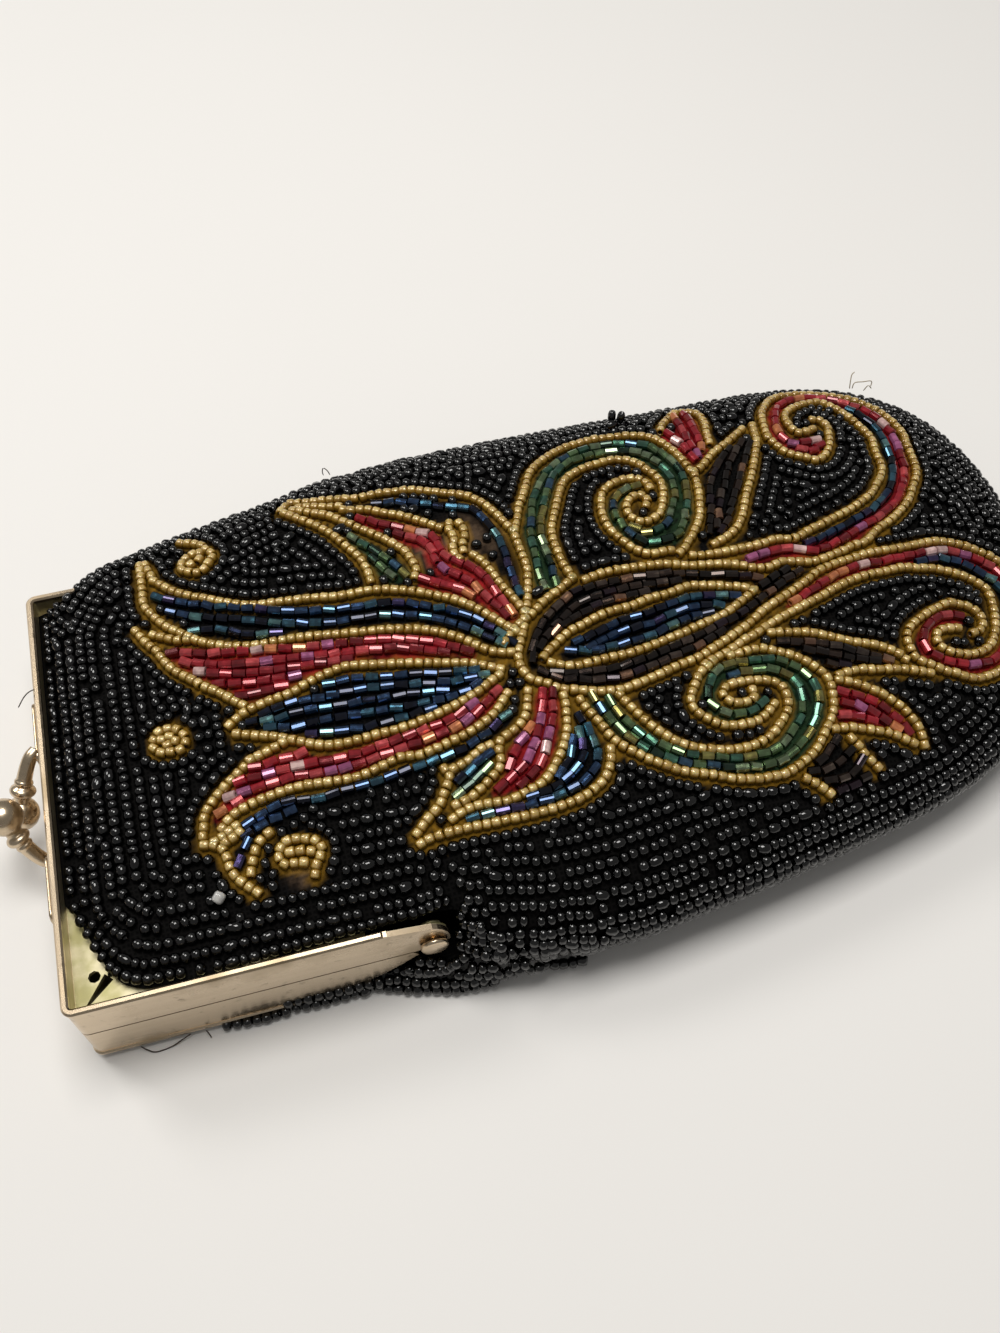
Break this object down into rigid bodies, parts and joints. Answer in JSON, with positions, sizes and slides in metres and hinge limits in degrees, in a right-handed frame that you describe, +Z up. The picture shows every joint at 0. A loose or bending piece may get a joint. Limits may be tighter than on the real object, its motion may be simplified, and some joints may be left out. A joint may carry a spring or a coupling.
{
  "type": "beaded coin purse",
  "caption": "Black beaded coin purse lying on its back, with floral scrolls in gold, red, blue and green beads, a pale hinged metal frame and a kiss-lock clasp.",
  "frame": {"origin": "middle of the footprint, on the surface it lies on", "axes": "+X from the frame's bar and clasp towards the pouch's round end, +Y across the frame from its near arm to its far arm, +Z up, out of the beaded front"},
  "size_m": [0.1882, 0.1016, 0.0266],
  "materials": {
    "beaded_cloth": "black glass seed beads sewn close over black cloth",
    "frame_metal": "worn pale champagne plate, brushed",
    "clasp_metal": "worn pale champagne plate, polished"
  },
  "bodies": {
    "root": {"front_panel": "beaded_cloth", "back_panel": "beaded_cloth", "frame_front": "frame_metal", "frame_back": "frame_metal", "hinge_rivet_near": "frame_metal", "hinge_rivet_far": "frame_metal", "clasp_front": "clasp_metal", "clasp_back": "clasp_metal"}
  },
  "joints": []
}
